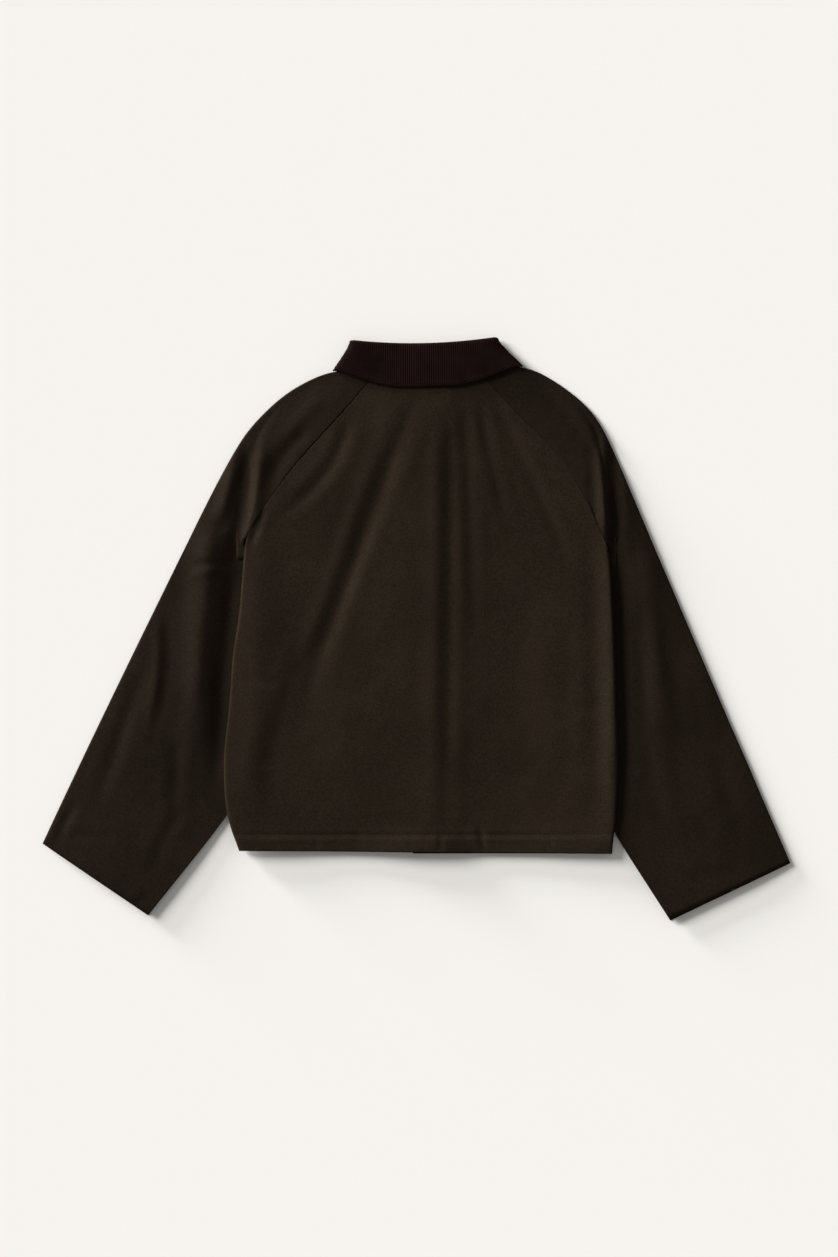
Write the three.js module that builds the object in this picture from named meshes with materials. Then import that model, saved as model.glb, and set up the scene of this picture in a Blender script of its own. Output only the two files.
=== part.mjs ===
// A short raglan jacket with a corduroy collar, buttoned and laid face down on a flat surface.
//
// Millimetres. +X is to the right across the back, +Y runs from hem to collar, +Z is up, and
// the jacket rests on z = 0. X = 0 is the centre back and Y = 0 the hem while the pieces are
// made; the finished group is shifted so that the origin is at the middle of the underside.
//
// Bottom to top lie: the buttons and the front of the collar, the two fronts, and the back.
// Each sleeve lies beside the body, its two layers flat together, and its inner edge is tucked
// under the side of the body. "Left" and "right" are the wearer's: left is on the -X side.
import * as THREE from 'three';

// ---------------------------------------------------------------- driving sizes
const CLOTH = 2.2;                // wall of the body and the sleeves, shell and interlining
const COLLAR_CLOTH = 2.7;         // corduroy on its interlining
const SEAM_GAP = 0.3;             // between pieces that are sewn together
const HEM_DEPTH = 24;             // turned-up hem, which doubles the cloth
const HEM_CLOTH = 3.4;            // wall of the turned-up hem

const BODY_HEIGHT = 9.2;          // top of the back over single fronts
const PLACKET_RISE = 1.6;         // more over the buttoned edge
const SIDE_RISE = 4.0;            // more where the body rides over the sleeve
const SIDE_RISE_WIDTH = 150;
const NECK_HEIGHT = 11.6;         // top of the back at the neck seam
const NECK_RISE_LENGTH = 80;
const HEM_HEIGHT = 8.4;           // top of the back at the hem
const SIDE_ROLL = 3.9;            // radius of the rolled side of the body

const BUTTON_COUNT = 5;
const BUTTON_RADIUS = 10;
const BUTTON_HEIGHT = 2.6;
const BUTTON_X = 2;
const BUTTON_LOW_Y = 70;
const BUTTON_PITCH = 112;
const OVERLAP = 18;               // each front goes this far past the centre
const BUTTON_LIFT = BUTTON_HEIGHT + SEAM_GAP;

const SLEEVE_FLAT = 2 * CLOTH + SEAM_GAP;        // two layers pressed flat
const TUCK_LIFT = SLEEVE_FLAT + 3 * SEAM_GAP;    // the fronts where they lie on a sleeve
const SLEEVE_ROLL = 2.7;          // radius of the fold down the outer edge of a sleeve
const SLEEVE_CREST = 8.2;         // top of a sleeve between its fold and the body
const SHOULDER_LIFT = 3.6;        // the front layer under the dropped shoulder

const COLLAR_ROLL = 3.2;          // radius of the fold along the top of the collar
const COLLAR_BASE = 1.5;          // half the space left inside the flattened stand
const COLLAR_MID = COLLAR_BASE + 2 * COLLAR_ROLL;   // height of the collar's middle level
const STAND_DEPTH = 36;           // collar fold to neck seam at the back

// ---------------------------------------------------------------- outlines
// The back, row by row from the neck to the hem. Down to row ARMPIT_ROW both edges are raglan
// seams, and from there on they are the rolled sides of the body.
const ARMPIT_ROW = 9;
const BACK_ROWS = [
  // leftX, leftY, rightX, rightY
  [-72, 658, 77, 658],
  [-81, 645, 87, 645],
  [-100, 622, 108, 624],
  [-124, 595, 124, 605],
  [-148, 569, 148, 583],
  [-172, 543, 172, 560],
  [-195, 515, 196, 528],
  [-214, 488, 217, 497],
  [-232, 463, 232, 462],
  [-248, 434, 248, 425],
  [-251, 403, 254, 399],
  [-254, 362, 256, 360],
  [-257, 322, 258, 320],
  [-266, 275, 260, 273],
  [-268, 235, 261, 234],
  [-271, 190, 262, 189],
  [-278, 143, 264, 143],
  [-278, 104, 264, 104],
  [-276, 62, 262, 62],
  [-268, 32, 259, 28],
  [-262, 17, 257, 14],
  [-257, 3, 256, -1],
].map(([leftX, leftY, rightX, rightY]) => ({ leftX, leftY, rightX, rightY }));

const sleeveRow = ([outerX, outerY, innerX, innerY, crevice, depth]) => (
  { outerX, outerY, innerX, innerY, crevice, depth });

// Each sleeve, row by row from the neck to the cuff: the outer fold, the inner edge (the
// raglan seam, then the underarm seam), and how far across the crevice beside the body runs
// (0 at the outer fold, 1 at the inner edge) and how deep it is (1 is down to flat layers).
const LEFT_SLEEVE_ROWS = [
  // outerX, outerY, innerX, innerY, crevice, depth
  [-110, 664, -72, 658, 0.10, 0],
  [-136, 661, -81, 645, 0.10, 0],
  [-165, 649, -100, 622, 0.10, 0],
  [-197, 630, -124, 595, 0.10, 0],
  [-227, 602, -148, 569, 0.12, 0.1],
  [-249, 577, -172, 543, 0.20, 0.5],
  [-266, 549, -195, 515, 0.38, 0.8],
  [-283, 518, -214, 488, 0.59, 0.9],
  [-300, 485, -232, 463, 0.80, 1],
  [-317, 451, -248, 434, 0.94, 1],
  [-325, 434, -255, 421, 0.96, 1],
  [-337, 410, -243, 396, 0.86, 1],
  [-361, 361, -231, 336, 0.78, 1],
  [-393, 296, -226, 268, 0.75, 1],
  [-425, 230, -226, 196, 0.77, 1],
  [-455, 168, -238, 118, 0.80, 1],
  [-474, 128, -258, 74, 0.90, 1],
  [-492, 90, -291, 27, 0.97, 0.7],
  [-510, 52, -334, -26, 0.98, 0.1],
  [-528, 13, -382, -86, 0.98, 0],
].map(sleeveRow);
const RIGHT_SLEEVE_ROWS = [
  [112, 667, 77, 658, 0.10, 0],
  [141, 669, 87, 645, 0.10, 0],
  [172, 653, 108, 624, 0.10, 0],
  [200, 634, 124, 605, 0.10, 0],
  [226, 611, 148, 583, 0.12, 0.2],
  [245, 583, 172, 560, 0.14, 0.8],
  [263, 543, 196, 528, 0.26, 1],
  [278, 508, 217, 497, 0.43, 1],
  [294, 470, 232, 462, 0.62, 1],
  [310, 432, 248, 425, 0.92, 1],
  [318, 413, 257, 411, 0.96, 1],
  [328, 390, 247, 388, 0.87, 1],
  [349, 341, 233, 325, 0.77, 1],
  [372, 287, 222, 262, 0.73, 1],
  [397, 229, 218, 194, 0.74, 1],
  [423, 168, 224, 122, 0.78, 1],
  [442, 126, 237, 74, 0.84, 1],
  [460, 83, 258, 28, 0.94, 1],
  [480, 37, 294, -28, 0.98, 0.2],
  [502, -14, 336, -93, 0.98, 0],
].map(sleeveRow);

// The large soft furrows in the back, each an arc through three points.
const FURROWS = [
  // topX, topY, midX, midY, lowX, lowY, halfWidth, depth
  [-15, 615, -118, 350, -210, 75, 22, 2.2],
  [31, 600, 31, 330, 24, 20, 18, 2.6],
  [92, 610, 140, 500, 196, 395, 18, 1.3],
  [-112, 590, -150, 510, -205, 455, 18, 1.3],
].map(([topX, topY, midX, midY, lowX, lowY, halfWidth, depth]) => (
  { topX, topY, midX, midY, lowX, lowY, halfWidth, depth }));

// The collar leaf: its folded top edge and its free edge across the back.
const COLLAR = {
  topLeft: [-102, 705], topMiddle: [0, 700], topRight: [96, 709],
  edgeLeft: [-128, 664], edgeMiddle: [0, 640], edgeRight: [133, 670],
  frontTop: [16, 640],              // the fold at the centre front, either side of it
  frontPoint: [38, 592],            // the collar points
};

const COLOURS = {
  cloth: { color: 0x27_1f_18, roughness: 0.78, metalness: 0 },
  corduroy: { color: 0x1d_0f_0d, roughness: 0.95, metalness: 0 },
  button: { color: 0x1a_13_0e, roughness: 0.42, metalness: 0 },
};

// ---------------------------------------------------------------- small maths
const mix = (a, b, t) => a + (b - a) * t;

function smooth(from, to, value) {
  const t = Math.min(1, Math.max(0, (value - from) / (to - from)));
  return t * t * (3 - 2 * t);
}

// Distance from (x, y) to the quadratic arc through a furrow's three points, with the place
// along it from 0 to 1.
function nearestOnArc(furrow, x, y) {
  const steps = 24;
  const controlX = 2 * furrow.midX - (furrow.topX + furrow.lowX) / 2;
  const controlY = 2 * furrow.midY - (furrow.topY + furrow.lowY) / 2;
  let best = { distance: Infinity, along: 0 };
  for (let step = 0; step <= steps; step += 1) {
    const t = step / steps;
    const px = (1 - t) ** 2 * furrow.topX + 2 * t * (1 - t) * controlX + t * t * furrow.lowX;
    const py = (1 - t) ** 2 * furrow.topY + 2 * t * (1 - t) * controlY + t * t * furrow.lowY;
    const distance = Math.hypot(x - px, y - py);
    if (distance < best.distance) {
      best = { distance, along: t };
    }
  }
  return best;
}

// ---------------------------------------------------------------- heights
// The edge of the body at height y: a side given as 'left' or 'right'.
function edgeAt(side, y) {
  const xs = `${side}X`;
  const ys = `${side}Y`;
  const low = BACK_ROWS.findIndex((row) => row[ys] <= y);
  if (low < 1) {
    return BACK_ROWS[low === 0 ? 0 : BACK_ROWS.length - 1][xs];
  }
  const [above, below] = [BACK_ROWS[low - 1], BACK_ROWS[low]];
  return mix(above[xs], below[xs], (above[ys] - y) / (above[ys] - below[ys]));
}

function distanceInside(x, y) {
  return x < 0 ? x - edgeAt('left', y) : edgeAt('right', y) - x;
}

// How much of the dropped shoulder and side rides over the sleeve at height y: 1 from the
// armpit down, fading out up the shoulder.
function rideOver(y) {
  return (1 - smooth(455, 600, y)) * mix(0.35, 1, smooth(-40, 25, y));
}

// Outer face of the back.
function backTop(x, y) {
  const placket = PLACKET_RISE * (1 - smooth(8, 60, Math.abs(x)));
  const side = SIDE_RISE * rideOver(y) * (1 - smooth(0, SIDE_RISE_WIDTH, distanceInside(x, y)));
  let height = BODY_HEIGHT + placket + side;
  height = mix(height, NECK_HEIGHT, smooth(660 - NECK_RISE_LENGTH, 652, y));
  height = mix(height, HEM_HEIGHT + 0.8 * placket + side, 1 - smooth(2, 45, y));
  const onBody = smooth(6, 40, distanceInside(x, y)) * (1 - smooth(590, 640, y));
  for (const furrow of FURROWS) {
    const { distance, along } = nearestOnArc(furrow, x, y);
    const ends = smooth(0, 0.12, along) * (1 - smooth(0.8, 1, along) * 0.7);
    height -= onBody * ends * furrow.depth * Math.exp(-((distance / furrow.halfWidth) ** 2));
  }
  const clear = 2 * SEAM_GAP + 0.5;
  return Math.max(height, frontUnderside(x, y) + innerEdgeLift(x, y) + 2 * hemWall(y) + clear);
}

// The left front's edge lies on the right front, so it is raised by a layer there.
function innerEdgeLift(x, y) {
  return (hemWall(y) + 2 * SEAM_GAP) * smooth(-100, -46, x) * (1 - smooth(OVERLAP + 8, 60, x));
}

// Lift of the front layer above the surface where it lies on the front of the collar.
function collarLift(x, y) {
  const leafEdge = mix(COLLAR.frontPoint[1], COLLAR.edgeLeft[1], smooth(38, 128, Math.abs(x)));
  const across = 1 - smooth(128, 172, Math.abs(x));
  return (COLLAR_MID - COLLAR_BASE - CLOTH) * smooth(leafEdge - 46, leafEdge - 6, y) * across;
}

// Outer face of the fronts, which look down.
function frontUnderside(x, y) {
  const placket = BUTTON_LIFT * (1 - smooth(24, 60, Math.abs(x)));
  const overSleeve = TUCK_LIFT * rideOver(y) * (1 - smooth(50, 105, distanceInside(x, y)));
  return Math.max(placket, overSleeve, collarLift(x, y));
}

// ---------------------------------------------------------------- solids from grids
// A closed wall from two grids of points of the same size, the face that looks out and the
// face that looks in.
function wall(outer, inner, flip = false) {
  const rows = outer.length;
  const columns = outer[0].length;
  const positions = [...outer.flat(), ...inner.flat()].flat();
  const index = [];
  const outerAt = (row, column) => row * columns + column;
  const innerAt = (row, column) => rows * columns + row * columns + column;
  const quad = (a, b, c, d) => index.push(...(flip ? [a, c, b, a, d, c] : [a, b, c, a, c, d]));
  for (let row = 0; row + 1 < rows; row += 1) {
    for (let column = 0; column + 1 < columns; column += 1) {
      const [a, b] = [[row, column], [row, column + 1]];
      const [c, d] = [[row + 1, column + 1], [row + 1, column]];
      quad(outerAt(...a), outerAt(...d), outerAt(...c), outerAt(...b));
      quad(innerAt(...a), innerAt(...b), innerAt(...c), innerAt(...d));
    }
  }
  const rim = [];
  for (let column = 0; column < columns; column += 1) {
    rim.push([0, column]);
  }
  for (let row = 1; row < rows; row += 1) {
    rim.push([row, columns - 1]);
  }
  for (let column = columns - 2; column >= 0; column -= 1) {
    rim.push([rows - 1, column]);
  }
  for (let row = rows - 2; row > 0; row -= 1) {
    rim.push([row, 0]);
  }
  rim.forEach((here, place) => {
    const next = rim[(place + 1) % rim.length];
    quad(outerAt(...here), outerAt(...next), innerAt(...next), innerAt(...here));
  });
  const geometry = new THREE.BufferGeometry();
  geometry.setAttribute('position', new THREE.Float32BufferAttribute(positions, 3));
  geometry.setIndex(index);
  geometry.computeVertexNormals();
  return geometry;
}

const jacket = new THREE.Group();

function addPiece(name, geometry, look) {
  const mesh = new THREE.Mesh(geometry, new THREE.MeshStandardMaterial(COLOURS[look]));
  mesh.name = name;
  jacket.add(mesh);
  return mesh;
}

// ---------------------------------------------------------------- back and fronts
const ROLL_ANGLES = [0, 28, 56, 90].map(THREE.MathUtils.degToRad);
const SEAM_STEPS = [0, 0.5, 1.7, 4.5];            // columns beside a raglan seam

function hemWall(y) {
  return mix(HEM_CLOTH, CLOTH, smooth(HEM_DEPTH - 4, HEM_DEPTH + 4, y));
}

// Points of one row from a side edge inwards to where the flat of the panel begins. face is
// 1 for the back, which looks up, and -1 for a front, which looks down.
function edgeColumns(edgeX, y, inward, face, row) {
  const surface = face > 0 ? backTop : frontUnderside;
  const nearX = edgeX + inward * SIDE_ROLL;
  const lowest = face > 0 ? frontUnderside(nearX, y) + 2 * SIDE_ROLL + SEAM_GAP : 0;
  const height = Math.max(surface(nearX, y), lowest);
  const rolled = row > ARMPIT_ROW ? 1 : 0;
  const thick = hemWall(y);
  return ROLL_ANGLES.map((angle, step) => {
    if (!rolled) {
      const x = edgeX + inward * (SEAM_GAP / 2 + SEAM_STEPS[step]);
      const z = surface(x, y);
      return { outer: [x, y, z], inner: [x, y, z - face * thick] };
    }
    const level = (radius) => height - face * (SIDE_ROLL - radius * Math.sin(angle));
    const across = (radius) => edgeX + inward * (SIDE_ROLL - radius * Math.cos(angle));
    const centreGap = step === 0 ? face * SEAM_GAP / 2 : 0;
    const innerRadius = Math.min(thick, SIDE_ROLL - 0.6);
    return {
      outer: [across(SIDE_ROLL), y, level(SIDE_ROLL) + centreGap],
      inner: [across(SIDE_ROLL - innerRadius), y, level(SIDE_ROLL - innerRadius) + centreGap],
    };
  });
}

function flatColumn(x, y, face, lift = 0) {
  const z = (face > 0 ? backTop(x, y) : frontUnderside(x, y)) + lift;
  return { outer: [x, y, z], inner: [x, y, z - face * hemWall(y)] };
}

function panel(rows, flip) {
  return wall(rows.map((row) => row.map((point) => point.outer)),
    rows.map((row) => row.map((point) => point.inner)), flip);
}

function makeBack() {
  const flatColumns = 16;
  return panel(BACK_ROWS.map(({ leftX, leftY, rightX, rightY }, row) => {
    const left = edgeColumns(leftX, leftY, 1, 1, row);
    const right = edgeColumns(rightX, rightY, -1, 1, row).reverse();
    const [startX, endX] = [left[3].outer[0], right[0].outer[0]];
    const middle = [];
    for (let column = 1; column < flatColumns; column += 1) {
      const t = column / flatColumns;
      middle.push(flatColumn(mix(startX, endX, t), mix(leftY, rightY, t), 1));
    }
    return [...left, ...middle, ...right];
  }), false);
}

// A front runs from its side to past the centre. The right front lies outside, on the
// buttons, and the left front's edge lies inside it.
function makeFront(side) {
  const inward = side === 'left' ? 1 : -1;
  const flatColumns = 9;
  const neckDrop = 66;               // the front neck is cut lower than the back neck
  return panel(BACK_ROWS.map((backRow, row) => {
    const edgeX = backRow[`${side}X`];
    const edgeY = backRow[`${side}Y`];
    const columns = edgeColumns(edgeX, edgeY, inward, -1, row);
    const startX = columns[3].outer[0];
    const endX = inward * OVERLAP;
    const centreY = mix(edgeY - neckDrop * (1 - row / ARMPIT_ROW), edgeY, row > ARMPIT_ROW ? 1 : 0);
    for (let column = 1; column <= flatColumns; column += 1) {
      const t = column / flatColumns;
      const x = mix(startX, endX, t);
      const y = mix(edgeY, centreY, Math.min(1, 1.4 * t));
      const inside = side === 'left' ? innerEdgeLift(x, y) : 0;
      columns.push(flatColumn(x, y, -1, inside));
    }
    return columns;
  }), side === 'left');
}

// ---------------------------------------------------------------- sleeves
const ROLL_SIDES = 4;

// One section of a sleeve: from the inner edge over the top layer to the outer fold, round
// it, and back under to the inner edge.
function sleeveSection(rows, at) {
  const { outerX, outerY, innerX, innerY, crevice, depth } = rows[at];
  const length = Math.hypot(innerX - outerX, innerY - outerY);
  const direction = [(innerX - outerX) / length, (innerY - outerY) / length];
  const armpit = ARMPIT_ROW + 0.5;
  const aboveArmpit = 1 - smooth(ARMPIT_ROW, ARMPIT_ROW + 1, at);
  const neck = 1 - smooth(0, 4, at);
  const seamTop = mix(SLEEVE_FLAT, backTop(innerX, innerY), aboveArmpit);
  const seamLow = frontUnderside(innerX, innerY) * aboveArmpit;
  const place = (across) => [outerX + direction[0] * across, outerY + direction[1] * across];
  const lowerLevel = (across) => {
    const [x, y] = place(across);
    const fraction = across / length;
    const shoulder = smooth(crevice - 0.05, crevice + 0.3, fraction) * depth * aboveArmpit;
    const toSeam = mix(SHOULDER_LIFT * shoulder, seamLow, smooth(0.6, 1, fraction));
    return Math.max(toSeam, collarLift(x, y) * (at < armpit ? 1 : 0));
  };
  const foldLow = lowerLevel(SLEEVE_ROLL);
  const foldTop = foldLow + 2 * mix(SLEEVE_ROLL, 3.2, neck);
  const upperLevel = (across) => {
    const fraction = across / length;
    const past = smooth(crevice - 0.01, crevice + 0.09, fraction);
    const shoulderSide = mix(SLEEVE_FLAT, mix(seamTop, backTop(...place(across)), 0.5),
      aboveArmpit);
    const crest = mix(foldTop, SLEEVE_CREST, smooth(0, 0.3, fraction));
    const dip = mix(crest, SLEEVE_FLAT + 0.2,
      depth * smooth(crevice - 0.26, crevice - 0.01, fraction));
    const open = mix(foldTop, seamTop, smooth(0, 0.7, fraction));
    const creviced = mix(dip, shoulderSide, past);
    const shaped = mix(mix(open, crest, smooth(ARMPIT_ROW, armpit + 3, at)), creviced,
      smooth(0, 0.5, depth));
    return mix(shaped, seamTop, smooth(0.9, 1, fraction) * aboveArmpit);
  };
  const first = SLEEVE_ROLL;
  const last = length - SEAM_GAP / 2;
  const outside = 6;                  // columns from the fold to the crevice
  const beyond = 4;                   // columns from the crevice to the inner edge
  const creviceAt = mix(first, last, Math.min(0.97, Math.max(0.1, crevice)));
  const steps = [];
  for (let column = 0; column < outside; column += 1) {
    steps.push(mix(first, creviceAt, column / outside));
  }
  const wallWidth = Math.min(6, (last - creviceAt) / 2);
  steps.push(creviceAt, creviceAt + wallWidth);
  for (let column = 1; column < beyond; column += 1) {
    steps.push(mix(creviceAt + wallWidth, last, column / (beyond - 1)));
  }
  const points = [];
  for (const across of [...steps].reverse()) {
    const [x, y] = place(across);
    const low = lowerLevel(across) + 2 * CLOTH + SEAM_GAP;
    const z = Math.max(upperLevel(across), low);
    points.push({ outer: [x, y, z], inner: [x, y, z - CLOTH] });
  }
  const topZ = points.at(-1).outer[2];
  const middle = (topZ + foldLow) / 2;
  const radius = (topZ - foldLow) / 2;
  for (let step = 1; step < ROLL_SIDES; step += 1) {
    const angle = Math.PI * (0.5 + step / ROLL_SIDES);
    const bend = (reach, rise) => {
      const [x, y] = place(SLEEVE_ROLL + reach * Math.cos(angle));
      return [x, y, middle + rise * Math.sin(angle)];
    };
    points.push({
      outer: bend(SLEEVE_ROLL, radius),
      inner: bend(SLEEVE_ROLL - CLOTH, radius - CLOTH),
    });
  }
  const under = 7;
  for (let column = 0; column <= under; column += 1) {
    const across = mix(first, last, column / under);
    const [x, y] = place(across);
    const z = lowerLevel(across);
    points.push({ outer: [x, y, z], inner: [x, y, z + CLOTH] });
  }
  return points;
}

function makeSleeve(rows, side) {
  return panel(rows.map((row, at) => sleeveSection(rows, at)), side === 'left');
}

// ---------------------------------------------------------------- collar
// The collar goes round the neck and is pressed flat, so each ring of it runs from the centre
// front under one side, across the back and under the other side to the centre front.
function collarRing(share, drop, out) {
  const lerp2 = (from, to, t) => [mix(from[0], to[0], t), mix(from[1], to[1], t)];
  const left = lerp2(COLLAR.topLeft, COLLAR.edgeLeft, share);
  const right = lerp2(COLLAR.topRight, COLLAR.edgeRight, share);
  const insetLeft = left[0] + mix(COLLAR_ROLL, 2 * COLLAR_ROLL, smooth(0, 0.2, share));
  const insetRight = right[0] - mix(COLLAR_ROLL, 2 * COLLAR_ROLL, smooth(0, 0.2, share));
  const half = COLLAR_BASE + out;
  const backColumns = 12;
  const endColumns = 4;
  const frontColumns = 3;
  const backY = (x) => {
    const t = (x - insetLeft) / (insetRight - insetLeft);
    const bow = 4 * t * (1 - t);
    const top = mix(left[1], right[1], t) + bow * mix(-6, 0, share);
    const edgeBow = mix(0, COLLAR.edgeMiddle[1] - 667, share) * Math.min(1, bow * 1.12);
    return top + edgeBow - drop;
  };
  const frontY = (x, cornerX, cornerY) => {
    const centre = mix(COLLAR.frontTop[1], COLLAR.frontPoint[1], share);
    const t = (x - cornerX) / (Math.sign(cornerX) * mix(16, 38, share) - cornerX);
    return mix(cornerY, centre, t) - drop * mix(1, 0.55, smooth(0, 0.3, t));
  };
  const frontEnd = mix(COLLAR.frontTop[0], COLLAR.frontPoint[0], share);
  const points = [];
  for (let column = 0; column < frontColumns; column += 1) {
    const x = mix(-frontEnd, insetLeft, column / frontColumns);
    points.push([x, frontY(x, insetLeft, left[1]), COLLAR_MID - half]);
  }
  for (let step = 0; step < endColumns; step += 1) {
    const angle = Math.PI * (1.5 - step / endColumns);
    points.push([insetLeft + half * Math.cos(angle), left[1] - drop,
      COLLAR_MID + half * Math.sin(angle)]);
  }
  for (let column = 0; column < backColumns; column += 1) {
    const x = mix(insetLeft, insetRight, column / backColumns);
    points.push([x, backY(x), COLLAR_MID + half]);
  }
  for (let step = 0; step < endColumns; step += 1) {
    const angle = Math.PI * (0.5 - step / endColumns);
    points.push([insetRight + half * Math.cos(angle), right[1] - drop,
      COLLAR_MID + half * Math.sin(angle)]);
  }
  for (let column = 0; column <= frontColumns; column += 1) {
    const x = mix(insetRight, frontEnd, column / frontColumns);
    points.push([x, frontY(x, insetRight, right[1]), COLLAR_MID - half]);
  }
  return points;
}

// One row of the collar: how far it has spread towards the leaf's free edge, and where its
// two faces lie round the fold, at an angle there or a distance below it.
function collarRow(share, angle, below, cloth) {
  const face = (radius) => collarRing(share, COLLAR_ROLL + radius * Math.cos(angle) + below,
    COLLAR_ROLL + radius * Math.sin(angle));
  return { outer: face(COLLAR_ROLL), inner: face(COLLAR_ROLL - cloth) };
}

function collarPart(turn, cloth, rowsBelow) {
  const start = Math.PI + turn * 0.06;
  const rows = [0, 1, 2].map((step) => (
    collarRow(0, mix(start, Math.PI + turn * Math.PI / 2, step / 2), 0, cloth)));
  rowsBelow.forEach(([share, below]) => {
    rows.push(collarRow(share, Math.PI + turn * Math.PI / 2, below, cloth));
  });
  return wall(rows.map((row) => row.outer), rows.map((row) => row.inner), turn > 0);
}

// ---------------------------------------------------------------- buttons
function makeButton() {
  const rim = 0.7;
  const profile = [
    [0, 0], [BUTTON_RADIUS - rim, 0], [BUTTON_RADIUS, rim], [BUTTON_RADIUS, BUTTON_HEIGHT - rim],
    [BUTTON_RADIUS - rim, BUTTON_HEIGHT], [0, BUTTON_HEIGHT],
  ].map(([radius, height]) => new THREE.Vector2(radius, height));
  return new THREE.LatheGeometry(profile, 16).rotateX(Math.PI / 2);
}

// ---------------------------------------------------------------- the jacket
addPiece('back_panel', makeBack(), 'cloth');
addPiece('front_left', makeFront('left'), 'cloth');
addPiece('front_right', makeFront('right'), 'cloth');
addPiece('sleeve_left', makeSleeve(LEFT_SLEEVE_ROWS, 'left'), 'cloth');
addPiece('sleeve_right', makeSleeve(RIGHT_SLEEVE_ROWS, 'right'), 'cloth');
addPiece('collar_leaf', collarPart(-1, COLLAR_CLOTH, [0.15, 0.45, 0.75, 1].map((share) => [share, -COLLAR_ROLL * share])),
  'corduroy');
addPiece('collar_stand', collarPart(1, CLOTH, [
  [0, (STAND_DEPTH - COLLAR_ROLL) / 2], [0, STAND_DEPTH - COLLAR_ROLL]]), 'cloth');
for (let button = 0; button < BUTTON_COUNT; button += 1) {
  const mesh = addPiece(`button_${button + 1}`, makeButton(), 'button');
  mesh.position.set(BUTTON_X, BUTTON_LOW_Y + button * BUTTON_PITCH, 0);
}

const box = new THREE.Box3().setFromObject(jacket);
jacket.position.set(-(box.min.x + box.max.x) / 2, -(box.min.y + box.max.y) / 2, -box.min.z);

export default jacket;
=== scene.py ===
# A short raglan jacket with a corduroy collar, laid face down with its back upwards.
import math
import bpy
import bmesh
import numpy as np
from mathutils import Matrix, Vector, noise
from mathutils.bvhtree import BVHTree


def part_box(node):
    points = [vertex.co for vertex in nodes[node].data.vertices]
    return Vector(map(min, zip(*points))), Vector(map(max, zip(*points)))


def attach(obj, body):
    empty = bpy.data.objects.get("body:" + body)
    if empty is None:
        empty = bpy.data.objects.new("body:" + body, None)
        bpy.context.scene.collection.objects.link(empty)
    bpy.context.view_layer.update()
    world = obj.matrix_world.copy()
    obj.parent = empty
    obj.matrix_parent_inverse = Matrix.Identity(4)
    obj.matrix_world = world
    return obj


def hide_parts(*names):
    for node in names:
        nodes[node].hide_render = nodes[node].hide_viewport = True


MM = 0.001
CLOTH_WALL = 1.3 * MM
COLLAR_WALL = 2.2 * MM
SHARP = math.radians(60)          # an edge sharper than this is a cut edge of the cloth
HEM_DEPTH = 24 * MM
WALE_PITCH = 3.0 * MM
WALE_HEIGHT = 0.65 * MM
STITCH_PITCH = 3.6 * MM
STITCH_LENGTH = 2.6 * MM
STITCH_RADIUS = 0.38 * MM
ARC_STEPS = 120                   # points along a crease
HEM_START = -0.250                # from the centre back to the first hem stitch
HEM_RUN = 0.502                   # the length that the hem stitches cover
HEM_STEP = 0.7                    # how much thicker the turned hem stands, in millimetres
COLLAR_SEARCH = 0.632             # above the hem: where the collar's edge is looked for
COLLAR_INSET = 6.5 * MM           # from the collar's edge to its row of stitches
COLLAR_LEAST = 8 * MM             # the collar lies higher than this
RAY_FROM = 0.2                    # a height above everything
COVER_HALF = (11 * MM, 20 * MM)   # half the width and length of an underarm cover
COVER_WALL = 0.5 * MM
COVER_HEIGHT = 5.3 * MM

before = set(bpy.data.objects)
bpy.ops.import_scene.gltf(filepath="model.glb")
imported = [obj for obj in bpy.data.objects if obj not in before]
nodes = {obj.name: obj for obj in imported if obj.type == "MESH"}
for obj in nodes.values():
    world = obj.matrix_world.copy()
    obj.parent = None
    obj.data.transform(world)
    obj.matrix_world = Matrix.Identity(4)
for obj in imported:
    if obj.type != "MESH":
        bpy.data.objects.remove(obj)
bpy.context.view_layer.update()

# The garment's own zero is the centre back at the hem; the furthest left of the body is
# 278 mm from it.
back_low, back_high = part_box("back_panel")
CENTRE_X = back_low.x + 278 * MM
HEM_Y = back_low.y + 1 * MM

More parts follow.
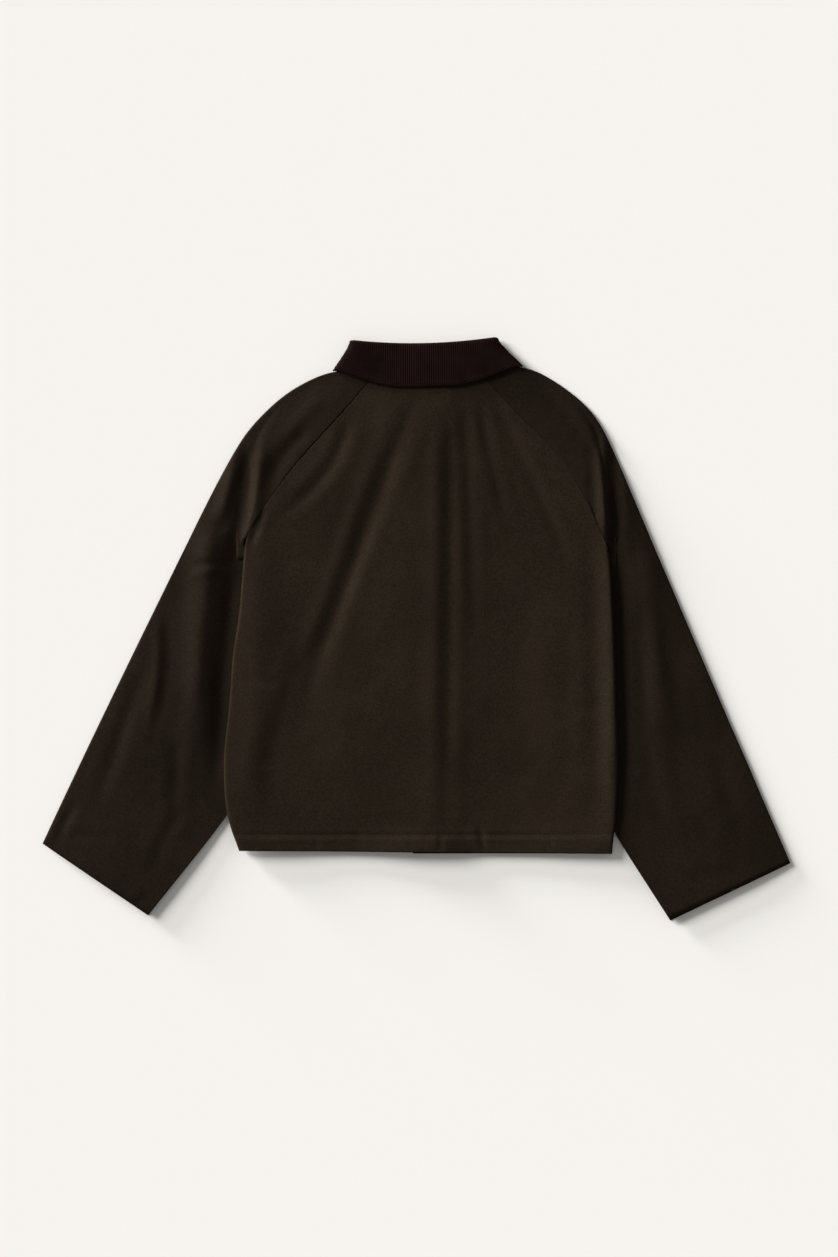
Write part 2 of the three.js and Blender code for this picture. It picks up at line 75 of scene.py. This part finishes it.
# Creases: three points each, half width and depth, all in millimetres from the garment's zero.
# A negative depth is a ridge.
BACK_CREASES = [
    (-40, 640, -50, 330, -60, 20, 150, -6.0),
    (-225, 440, -235, 250, -245, 40, 22, -2.0),
    (250, 440, 257, 250, 255, 20, 12, -4.0),
    (-15, 623, -100, 400, -181, 165, 11, 2.0),
    (-75, 470, -121, 349, -161, 254, 9, 1.0),
    (-150, 300, -205, 170, -216, 63, 12, 1.0),
    (33, 604, 31, 360, 27, 10, 9, 1.9),
    (16, 540, 14, 330, 8, 120, 12, -0.4),
    (51, 630, 58, 480, 65, 309, 8, 1.0),
    (92, 623, 140, 530, 201, 390, 8, 1.2),
    (74, 623, 92, 530, 118, 439, 7, 1.0),
    (108, 600, 150, 520, 190, 440, 8, -0.5),
    (-107, 597, -136, 525, -202, 463, 8, 1.5),
    (-223, 470, -233, 448, -241, 418, 5, 1.6),
    (-60, 560, -96, 470, -112, 420, 9, -0.6),
    (-200, 330, -150, 200, -140, 80, 22, 0.6),
    (120, 300, 135, 180, 120, 60, 24, 0.6),
    (200, 330, 190, 200, 215, 90, 16, 0.6),
    (-250, 250, -225, 236, -190, 240, 6, 0.7),
    (-262, 150, -235, 128, -205, 122, 7, 0.7),
    (250, 210, 225, 200, 190, 206, 7, 0.6),
    (-290, 24, 0, 24, 290, 24, 3, 0.8),
    (20, 26, 20, 14, 20, 2, 3.5, 1.0),
    (72, 36, 76, 20, 80, 2, 3.5, 1.3),
    (-150, 26, -151, 14, -150, 2, 4, 0.5),
    (170, 26, 171, 14, 170, 2, 4, 0.5),
]
LEFT_SLEEVE_CREASES = [
    (-246, 560, -256, 470, -262, 400, 8, 2.0),
    (-262, 400, -279, 240, -290, 80, 9, 2.4),
    (-226, 560, -230, 500, -238, 440, 9, -2.0),
    (-262, 560, -272, 500, -284, 450, 9, -2.4),
    (-292, 450, -306, 330, -318, 110, 17, -5.5),
    (-319, 400, -292, 396, -262, 399, 5, 1.8),
    (-330, 380, -300, 388, -272, 404, 5, -0.8),
    (-371, 325, -369, 250, -386, 160, 6, -1.3),
    (-362, 330, -358, 250, -372, 170, 8, 0.9),
    (-388, 254, -420, 160, -455, 63, 9, 1.3),
    (-346, 150, -344, 110, -348, 40, 8, 1.1),
    (-509, 12, -496, 42, -480, 71, 6, 1.0),
    (-497, 22, -460, 24, -421, 14, 6, 1.0),
    (-400, -66, -386, -62, -372, -68, 4, 1.2),
    (-161, 583, -195, 548, -230, 487, 9, 1.6),
    (-140, 625, -170, 600, -196, 560, 8, -0.7),
    (-262, 520, -268, 480, -282, 440, 8, 1.2),
    (-300, 330, -290, 260, -292, 190, 12, 0.9),
    (-330, 60, -360, 20, -372, -30, 8, 0.8),
]
RIGHT_SLEEVE_CREASES = [
    (254, 570, 260, 470, 262, 400, 8, 2.4),
    (262, 400, 270, 240, 272, 60, 10, 2.6),
    (243, 575, 246, 500, 246, 420, 8, -4.0),
    (300, 420, 316, 300, 326, 100, 16, -2.2),
    (311, 370, 328, 290, 352, 199, 12, 1.2),
    (290, 330, 296, 250, 300, 150, 10, 0.9),
    (304, 120, 318, 70, 340, 10, 10, 0.9),
    (400, 130, 420, 70, 440, 10, 12, 0.9),
    (360, -40, 390, -30, 430, -34, 7, 0.8),
    (160, 630, 196, 596, 226, 560, 8, 0.8),
    (380, 250, 392, 200, 396, 150, 9, -0.6),
]
FRONT_CREASES = [
    (-180, 480, -150, 300, -170, 120, 14, 0.9),
    (180, 480, 150, 300, 170, 120, 14, 0.9),
    (90, 560, 110, 420, 100, 300, 12, 0.8),
    (-90, 560, -110, 420, -100, 300, 12, 0.8),
]


# ------------------------------------------------------------------ finishes
def finish(name, colour, roughness):
    made = bpy.data.materials.new(name)
    made.use_nodes = True
    tree = made.node_tree
    shader = tree.nodes["Principled BSDF"]
    shader.inputs["Base Color"].default_value = (*colour, 1)
    shader.inputs["Roughness"].default_value = roughness
    shader.inputs["Specular IOR Level"].default_value = 0.04
    return made, tree, shader


def link(tree, source, socket, target, name):
    tree.links.new(source.outputs[socket], target.inputs[name])


def cloud(tree, place, scale, detail=3.0):
    made = tree.nodes.new("ShaderNodeTexNoise")
    made.inputs["Scale"].default_value = scale
    made.inputs["Detail"].default_value = detail
    link(tree, place, "Object", made, "Vector")
    return made


def tones(tree, source, dark, pale, low=0.35, high=0.65):
    ramp = tree.nodes.new("ShaderNodeValToRGB")
    ramp.color_ramp.elements[0].position = low
    ramp.color_ramp.elements[0].color = (*dark, 1)
    ramp.color_ramp.elements[1].position = high
    ramp.color_ramp.elements[1].color = (*pale, 1)
    link(tree, source, "Fac", ramp, "Fac")
    return ramp


def threads(tree, place, direction, pitch):
    wave = tree.nodes.new("ShaderNodeTexWave")
    wave.bands_direction = direction
    wave.inputs["Scale"].default_value = 0.314 / pitch
    wave.inputs["Distortion"].default_value = 0.6
    link(tree, place, "Object", wave, "Vector")
    return wave


def blend_values(tree, first, second, operation):
    made = tree.nodes.new("ShaderNodeMath")
    made.operation = operation
    tree.links.new(first, made.inputs[0])
    tree.links.new(second, made.inputs[1])
    return made


def multiplied(tree, first, second):
    mixed = tree.nodes.new("ShaderNodeMix")
    mixed.data_type = "RGBA"
    mixed.blend_type = "MULTIPLY"
    mixed.inputs["Factor"].default_value = 1.0
    tree.links.new(first.outputs["Color"], mixed.inputs["A"])
    tree.links.new(second.outputs["Color"], mixed.inputs["B"])
    return mixed


def waxed_cotton(name, shade):
    """The waxed body cloth; shade scales how bright it is, and a shade below 1 makes a darker
    copy with painted shade.
    """
    made, tree, shader = finish(name, [shade * c for c in (0.0180, 0.0117, 0.0069)], 0.74)
    place = tree.nodes.new("ShaderNodeTexCoord")
    patches = tones(tree, cloud(tree, place, 9.0), [shade * c for c in (0.0160, 0.0103, 0.0059)],
                    [shade * c for c in (0.0196, 0.0129, 0.0077)])
    slubs = tones(tree, cloud(tree, place, 420.0, 2.0), (0.78, 0.78, 0.78), (1.22, 1.22, 1.22))
    mixed = multiplied(tree, patches, slubs)
    tree.links.new(mixed.outputs["Result"], shader.inputs["Base Color"])
    weave = blend_values(tree, threads(tree, place, "X", 0.9 * MM).outputs["Fac"],
                         threads(tree, place, "Y", 0.9 * MM).outputs["Fac"], "MAXIMUM")
    grain = blend_values(tree, weave.outputs["Value"],
                         cloud(tree, place, 300.0, 4.0).outputs["Fac"], "ADD")
    bump = tree.nodes.new("ShaderNodeBump")
    bump.inputs["Strength"].default_value = 0.35
    bump.inputs["Distance"].default_value = 0.25 * MM
    link(tree, grain, "Value", bump, "Height")
    link(tree, bump, "Normal", shader, "Normal")
    return made


def oxblood_corduroy():
    made, tree, shader = finish("oxblood_corduroy", (0.0105, 0.0046, 0.0042), 0.92)
    shader.inputs["Sheen Weight"].default_value = 0.02
    shader.inputs["Sheen Roughness"].default_value = 0.35
    shader.inputs["Sheen Tint"].default_value = (0.75, 0.32, 0.28, 1)
    place = tree.nodes.new("ShaderNodeTexCoord")
    pile = tones(tree, cloud(tree, place, 30.0, 5.0), (0.0064, 0.0025, 0.0021),
                 (0.0112, 0.0047, 0.0039))
    # The wale bands are painted shade in the grooves between the raised wales and painted light
    # on the wale tops.
    wales = threads(tree, place, "X", WALE_PITCH)
    wales.inputs["Distortion"].default_value = 0.0
    wale_painted_shade_and_light = tones(tree, wales, (0.55, 0.55, 0.55), (1.25, 1.25, 1.25), 0.1, 0.8)
    mixed = multiplied(tree, pile, wale_painted_shade_and_light)
    tree.links.new(mixed.outputs["Result"], shader.inputs["Base Color"])
    bump = tree.nodes.new("ShaderNodeBump")
    bump.inputs["Strength"].default_value = 0.5
    bump.inputs["Distance"].default_value = 0.3 * MM
    link(tree, cloud(tree, place, 900.0, 3.0), "Fac", bump, "Height")
    link(tree, bump, "Normal", shader, "Normal")
    return made


def dark_resin():
    made, tree, shader = finish("dark_resin", (0.014, 0.009, 0.007), 0.4)
    place = tree.nodes.new("ShaderNodeTexCoord")
    streaks = tones(tree, cloud(tree, place, 160.0, 4.0), (0.009, 0.006, 0.005),
                    (0.022, 0.014, 0.010))
    link(tree, streaks, "Color", shader, "Base Color")
    return made


def sewing_thread(name, colour):
    made, tree, shader = finish(name, colour, 0.7)
    place = tree.nodes.new("ShaderNodeTexCoord")
    strands = tones(tree, cloud(tree, place, 1200.0, 2.0), tuple(0.7 * c for c in colour),
                    tuple(1.3 * c for c in colour))
    link(tree, strands, "Color", shader, "Base Color")
    return made


# Back and sleeves would be cut from one cloth. The sleeves' copy is painted darker here, by
# choice, as painted shade for the shade that they take when laid; nothing in the cloth itself
# makes them so.
SLEEVE_PAINTED_SHADE = 0.74
COTTON = waxed_cotton("waxed_cotton", 1.0)
SLEEVE_COTTON_PAINTED_SHADE = waxed_cotton("waxed_cotton_sleeve_painted_shade", SLEEVE_PAINTED_SHADE)
CORDUROY = oxblood_corduroy()
RESIN = dark_resin()
HEM_THREAD = sewing_thread("hem_thread", (0.034, 0.0245, 0.0150))
COLLAR_THREAD = sewing_thread("collar_thread", (0.019, 0.0085, 0.0075))


# ------------------------------------------------------------------ cloth
def piece_from(made, name, material):
    mesh = bpy.data.meshes.new(name)
    made.to_mesh(mesh)
    made.free()
    mesh.materials.clear()
    mesh.materials.append(material)
    mesh.polygons.foreach_set("use_smooth", [True] * len(mesh.polygons))
    piece = bpy.data.objects.new(name, mesh)
    bpy.context.scene.collection.objects.link(piece)
    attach(piece, "root")
    return piece


def outer_face(node, from_top):
    """The side of a cloth solid that looks out, as an open sheet of quads."""
    made = bmesh.new()
    made.from_mesh(nodes[node].data)
    bmesh.ops.remove_doubles(made, verts=made.verts, dist=0.02 * MM)
    bmesh.ops.join_triangles(made, faces=made.faces, angle_face_threshold=math.radians(40),
                             angle_shape_threshold=math.radians(60))
    height = lambda face: face.calc_center_median().z * (1 if from_top else -1)
    flat_faces = [face for face in made.faces if (face.normal.z > 0.8) == from_top
                  and abs(face.normal.z) > 0.8]
    start = max(flat_faces, key=height)
    kept = {start}
    waiting = [start]
    while waiting:
        for edge in waiting.pop().edges:
            if edge.calc_face_angle(math.pi) < SHARP:
                fresh = [face for face in edge.link_faces if face not in kept]
                kept.update(fresh)
                waiting.extend(fresh)
    dropped = [face for face in made.faces if face not in kept]
    bmesh.ops.delete(made, geom=dropped, context="FACES")
    return made


def refined(made, levels):
    """The same sheet, smoothly subdivided."""
    mesh = bpy.data.meshes.new("refining")
    made.to_mesh(mesh)
    made.free()
    holder = bpy.data.objects.new("refining", mesh)
    bpy.context.scene.collection.objects.link(holder)
    smoother = holder.modifiers.new("smooth", "SUBSURF")
    smoother.levels = levels
    smoother.render_levels = levels
    smoother.boundary_smooth = "PRESERVE_CORNERS"
    bpy.context.view_layer.update()
    finished = bmesh.new()
    finished.from_mesh(holder.evaluated_get(bpy.context.evaluated_depsgraph_get()).data)
    bpy.data.objects.remove(holder)
    bpy.data.meshes.remove(mesh)
    finished.normal_update()
    return finished


def crease_depth(x, y, creases):
    """How far down the creases press the cloth at the points (x, y)."""
    total = np.zeros(len(x))
    for x0, y0, x1, y1, x2, y2, half_width, depth in creases:
        t = np.linspace(0, 1, ARC_STEPS + 1)[:, None]
        control = (2 * x1 - (x0 + x2) / 2, 2 * y1 - (y0 + y2) / 2)
        along_x = (1 - t) ** 2 * x0 + 2 * t * (1 - t) * control[0] + t * t * x2
        along_y = (1 - t) ** 2 * y0 + 2 * t * (1 - t) * control[1] + t * t * y2
        away = np.hypot(x[None, :] - along_x, y[None, :] - along_y)
        near = away.argmin(axis=0)
        share = near / ARC_STEPS
        ends = np.minimum(1, np.minimum(share / 0.2 + 0.15, (1 - share) / 0.3 + 0.1))
        distance = away.min(axis=0) / half_width
        total += ends * depth * (np.exp(-distance ** 2) - 0.3 * np.exp(-(distance - 2.1) ** 2))
    return total


def press(made, creases, face, hem=False):
    """Puts creases, a soft unevenness and the hem's step into a sheet."""
    made.verts.ensure_lookup_table()
    x = np.array([(v.co.x - CENTRE_X) / MM for v in made.verts])
    y = np.array([(v.co.y - HEM_Y) / MM for v in made.verts])
    depth = crease_depth(x, y, creases)
    for vert, down, vx, vy in zip(made.verts, depth, x, y):
        level = max(0.0, face * vert.normal.z) ** 2
        soft = 0.55 * noise.noise(Vector((vx / 46, vy / 70, 3 * face)))
        soft += 0.22 * noise.noise(Vector((vx / 17, vy / 23, 9 * face)))
        up = soft - down
        if hem:
            up += HEM_STEP * (1 - min(1, max(0, (vy - 22) / 3)))
        vert.co.z += face * level * up * MM
    return made


def cloth_piece(node, name, creases, levels=3, from_top=True, hem=False,
                material=COTTON):
    face = 1 if from_top else -1
    made = press(refined(outer_face(node, from_top), levels), creases, face, hem)
    if not from_top:
        for vert in made.verts:
            vert.co.z = max(vert.co.z, 0.0)
    piece = piece_from(made, name, material)
    wall = piece.modifiers.new("wall", "SOLIDIFY")
    wall.thickness = CLOTH_WALL
    wall.offset = -1
    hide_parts(node)
    return piece


def corduroy_leaf():
    """The collar leaf, with its wales raised side by side."""
    made = refined(outer_face("collar_leaf", True), 2)
    across = [edge for edge in made.edges
              if abs(edge.verts[0].co.y - edge.verts[1].co.y) < 0.45 * edge.calc_length()]
    bmesh.ops.subdivide_edges(made, edges=across, cuts=8, use_grid_fill=True)
    made.normal_update()
    for vert in made.verts:
        ridge = abs(math.sin(math.pi * vert.co.x / WALE_PITCH)) ** 0.8
        soft = 0.5 * noise.noise(vert.co / 0.035)
        reach = WALE_HEIGHT * ridge + soft * MM
        vert.co += vert.normal * (reach - WALE_HEIGHT)
        vert.co.z = max(vert.co.z, 0.0)
    piece = piece_from(made, "corduroy_collar_leaf", CORDUROY)
    wall = piece.modifiers.new("wall", "SOLIDIFY")
    wall.thickness = COLLAR_WALL
    wall.offset = -1
    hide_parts("collar_leaf")
    return piece


def underarm_cover(name, x, y):
    """A flat scrap that covers the slit left where the back and a sleeve part.

    It is not a piece of the real cut, whatever its name says; the slit is still there.
    """
    made = bmesh.new()
    sheet = bmesh.ops.create_grid(made, x_segments=6, y_segments=8, size=1.0)
    bmesh.ops.scale(made, verts=sheet["verts"], vec=(*COVER_HALF, 1))
    bmesh.ops.translate(made, verts=sheet["verts"],
                        vec=(CENTRE_X + x * MM, HEM_Y + y * MM, COVER_HEIGHT))
    piece = piece_from(made, name, COTTON)
    wall = piece.modifiers.new("wall", "SOLIDIFY")
    wall.thickness = COVER_WALL
    return piece


# ------------------------------------------------------------------ stitches
def surface_of(piece):
    made = bmesh.new()
    made.from_mesh(piece.data)
    tree = BVHTree.FromBMesh(made)
    made.free()
    return tree


def height_at(surface, x, y):
    hit = surface.ray_cast(Vector((x, y, RAY_FROM)), Vector((0, 0, -1)))
    return hit[0]


def stitch_row(name, points, material):
    """A row of thread stitches, one lying between every two points."""
    row = bmesh.new()
    for start, end in zip(points, points[1:]):
        run = end - start
        turn = run.to_track_quat("Z", "Y").to_matrix().to_4x4()
        turn.translation = (start + end) / 2 + Vector((0, 0, STITCH_RADIUS * 0.35))
        made = bmesh.ops.create_uvsphere(row, u_segments=6, v_segments=5, radius=1.0)
        bmesh.ops.scale(row, verts=made["verts"],
                        vec=(STITCH_RADIUS, STITCH_RADIUS, STITCH_LENGTH / 2))
        bmesh.ops.transform(row, verts=made["verts"], matrix=turn)
    piece = piece_from(row, name, material)
    return piece


def hem_stitches(back):
    surface = surface_of(back)
    count = int(HEM_RUN / STITCH_PITCH)
    points = []
    for step in range(count + 1):
        x = CENTRE_X + HEM_START + step * STITCH_PITCH
        hit = height_at(surface, x, HEM_Y + HEM_DEPTH)
        if hit is not None:
            points.append(hit)
    return stitch_row("hem_stitches", points, HEM_THREAD)


def collar_stitches(leaf):
    surface = surface_of(leaf)
    low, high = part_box("collar_leaf")
    search_from = HEM_Y + COLLAR_SEARCH
    points = []
    for step in range(int((high.x - low.x) / STITCH_PITCH)):
        x = low.x + 5 * MM + step * STITCH_PITCH
        for rise in range(60):
            hit = height_at(surface, x, search_from + rise * MM)
            if hit is not None and hit.z > COLLAR_LEAST:
                sewn = height_at(surface, x, search_from + rise * MM + COLLAR_INSET)
                if sewn is not None and sewn.z > COLLAR_LEAST:
                    points.append(sewn)
                break
    return stitch_row("collar_stitches", points, COLLAR_THREAD)


back = cloth_piece("back_panel", "back", BACK_CREASES, hem=True)
# The sleeves wear the darker copy of the cloth, which carries painted shade.
cloth_piece("sleeve_left", "left_sleeve", LEFT_SLEEVE_CREASES,
            material=SLEEVE_COTTON_PAINTED_SHADE)
cloth_piece("sleeve_right", "right_sleeve", RIGHT_SLEEVE_CREASES,
            material=SLEEVE_COTTON_PAINTED_SHADE)
cloth_piece("front_left", "left_front", FRONT_CREASES, levels=2,
            from_top=False)
cloth_piece("front_right", "right_front", FRONT_CREASES, levels=2,
            from_top=False)
leaf = corduroy_leaf()
underarm_cover("left_underarm_allowance", -250, 424)
underarm_cover("right_underarm_allowance", 252, 415)
hem_stitches(back)
collar_stitches(leaf)
nodes["collar_stand"].data.materials.clear()
nodes["collar_stand"].data.materials.append(COTTON)
for number in range(1, 6):
    nodes[f"button_{number}"].data.materials.clear()
    nodes[f"button_{number}"].data.materials.append(RESIN)


# ------------------------------------------------------------------ studio
FLOOR_REACH = 60.0


def make_floor():
    made = bmesh.new()
    bmesh.ops.create_grid(made, x_segments=1, y_segments=1, size=FLOOR_REACH)
    mesh = bpy.data.meshes.new("floor")
    made.to_mesh(mesh)
    made.free()
    floor = bpy.data.objects.new("floor", mesh)
    floor.location.z = -0.4 * MM
    bpy.context.scene.collection.objects.link(floor)
    material, tree, shader = finish("pale_floor", (0.925, 0.900, 0.857), 0.9)
    shader.inputs["Specular IOR Level"].default_value = 0.0
    mesh.materials.append(material)


def make_sun(name, bearing, elevation, level, angle):
    """A sun from a compass bearing (0 is +X, 90 is +Y) that lights the floor to a level."""
    lamp = bpy.data.lights.new(name, "SUN")
    lamp.energy = level * math.pi / math.sin(math.radians(elevation))
    lamp.angle = math.radians(angle)
    sun = bpy.data.objects.new(name, lamp)
    up, round_ = math.radians(elevation), math.radians(bearing)
    towards = Vector((math.cos(up) * math.cos(round_), math.cos(up) * math.sin(round_),
                      math.sin(up)))
    sun.rotation_euler = towards.to_track_quat("Z", "Y").to_euler()
    bpy.context.scene.collection.objects.link(sun)


def make_world(level):
    world = bpy.data.worlds.new("studio")
    world.use_nodes = True
    world.node_tree.nodes["Background"].inputs["Color"].default_value = (1, 1, 1, 1)
    world.node_tree.nodes["Background"].inputs["Strength"].default_value = level
    bpy.context.scene.world = world


def make_camera():
    lens = bpy.data.cameras.new("camera")
    lens.lens = 100
    lens.sensor_width = 36
    camera = bpy.data.objects.new("camera", lens)
    camera.location = (3.4 * MM, 0.7 * MM, 4.81)
    bpy.context.scene.collection.objects.link(camera)
    bpy.context.scene.camera = camera


make_floor()
make_world(0.29)
make_sun("window", 150, 26, 0.51, 24)
make_sun("low_window", 140, 6.5, 0.20, 12)
make_camera()
bpy.context.scene.view_settings.view_transform = "Standard"
